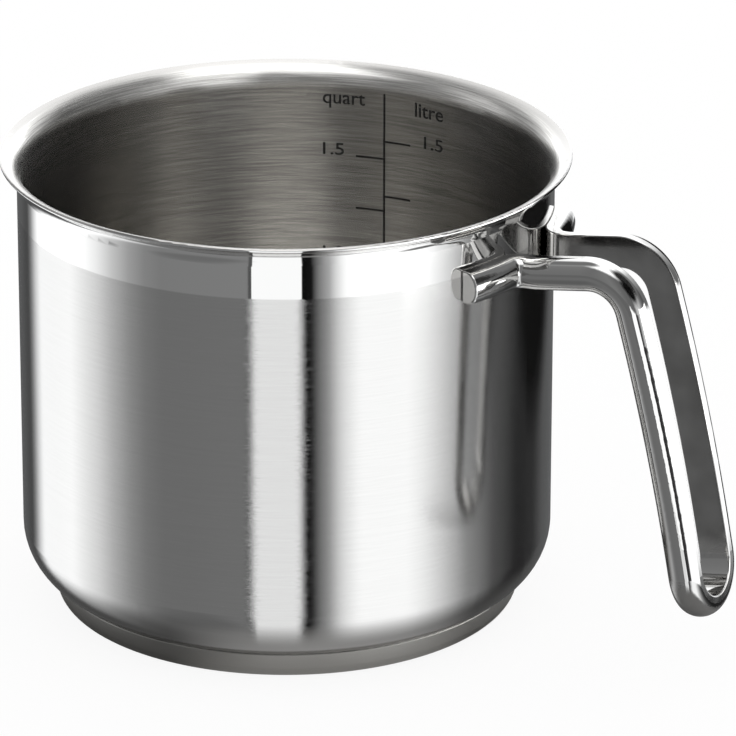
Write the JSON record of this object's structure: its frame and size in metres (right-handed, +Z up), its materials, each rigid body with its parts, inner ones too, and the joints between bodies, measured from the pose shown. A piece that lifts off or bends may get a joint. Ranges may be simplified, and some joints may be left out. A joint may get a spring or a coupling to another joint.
{
  "type": "milk pan",
  "caption": "Straight-walled stainless milk pan with a flared pouring rim, a rounded bottom edge, a thick capsule base and a bent bar loop handle welded to the wall.",
  "frame": {"origin": "centre of the flat face that the pan stands on", "axes": "+Z up along the pan's axis, +X out along the middle of the handle"},
  "size_m": [0.2037, 0.151, 0.1249],
  "materials": {
    "vessel_steel": "satin brushed round the axis inside and out, mirror polished round the rim",
    "aluminium_core": "as rolled",
    "cap_steel": "satin, turned round the axis",
    "handle_steel": "mirror polished"
  },
  "bodies": {
    "root": {"vessel": "vessel_steel", "heat_spreader": "aluminium_core", "base_cap": "cap_steel", "handle": "handle_steel"}
  },
  "joints": []
}
